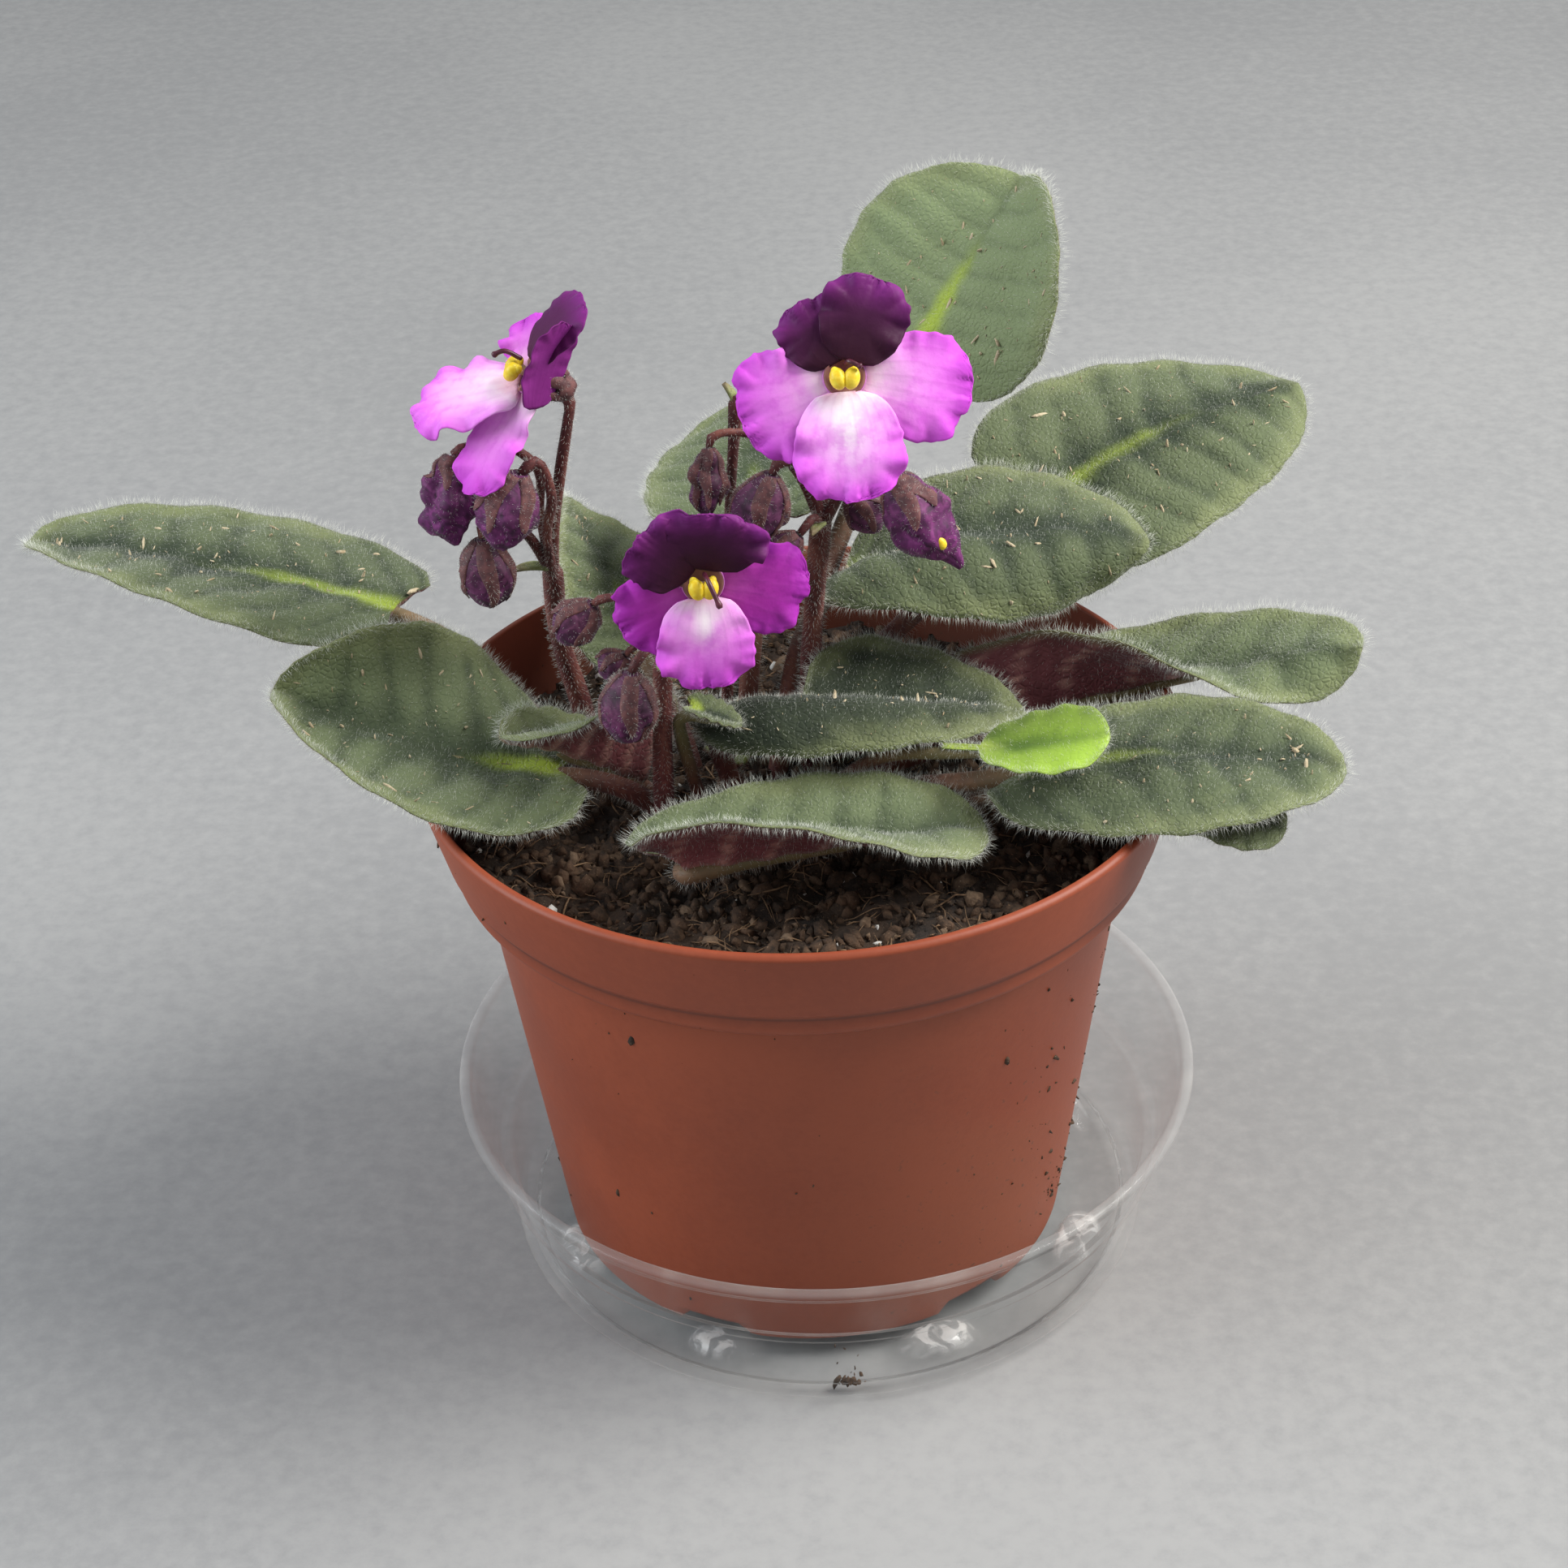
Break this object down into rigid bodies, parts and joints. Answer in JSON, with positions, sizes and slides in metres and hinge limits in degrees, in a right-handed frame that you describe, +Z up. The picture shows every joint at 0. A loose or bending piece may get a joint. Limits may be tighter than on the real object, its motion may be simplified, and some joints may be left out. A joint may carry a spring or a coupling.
{
  "type": "potted african violet",
  "caption": "Flowering house plant with hairy leaves and purple-pink blooms, in a round nursery pot that stands in a clear saucer.",
  "frame": {"origin": "on the pot's axis, at the underside of the saucer, where the part meets the surface it stands on", "axes": "+Z up, -Y towards the front that the right-hand bloom faces, +X to the right; the leaves reach furthest along X"},
  "size_m": [0.2285, 0.1449, 0.1853],
  "materials": {
    "clear_plastic": "gloss",
    "terracotta_plastic": "satin",
    "potting_soil": "matte",
    "leaf": "matte",
    "young_leaf": "matte",
    "flower_stalk": "matte",
    "bud": "matte",
    "petal": "matte",
    "anther": "matte",
    "style": "satin"
  },
  "bodies": {
    "root": {"bloom_front": "petal", "bloom_left": "petal", "bloom_right": "petal", "bud_front_hanging": "bud", "bud_front_left": "bud", "bud_front_round": "bud", "bud_left_big": "bud", "bud_left_low": "bud", "bud_left_wilted": "bud", "bud_right_large": "bud", "bud_right_low": "bud", "bud_right_opening": "bud", "bud_right_rear": "bud", "bud_right_withered": "bud", "crown": "young_leaf", "leaf_back": "leaf", "leaf_back_left": "leaf", "leaf_back_right": "leaf", "leaf_centre": "leaf", "leaf_far_left": "leaf", "leaf_folded_left": "leaf", "leaf_front": "leaf", "leaf_half_folded_right": "leaf", "leaf_over_left_rim": "leaf", "leaf_over_right_rim": "leaf", "leaf_right": "leaf", "leaf_small_centre": "leaf", "leaf_tall": "leaf", "leaf_under_right": "leaf", "leaf_young_bright": "young_leaf", "pot": "terracotta_plastic", "saucer": "clear_plastic", "soil": "potting_soil", "stalk_front": "flower_stalk", "stalk_left": "flower_stalk", "stalk_right": "flower_stalk", "stalk_slim": "flower_stalk", "stamens_front": "anther", "stamens_left": "anther", "stamens_right": "anther", "style_front": "style", "style_left": "style", "style_right": "style"}
  },
  "joints": []
}
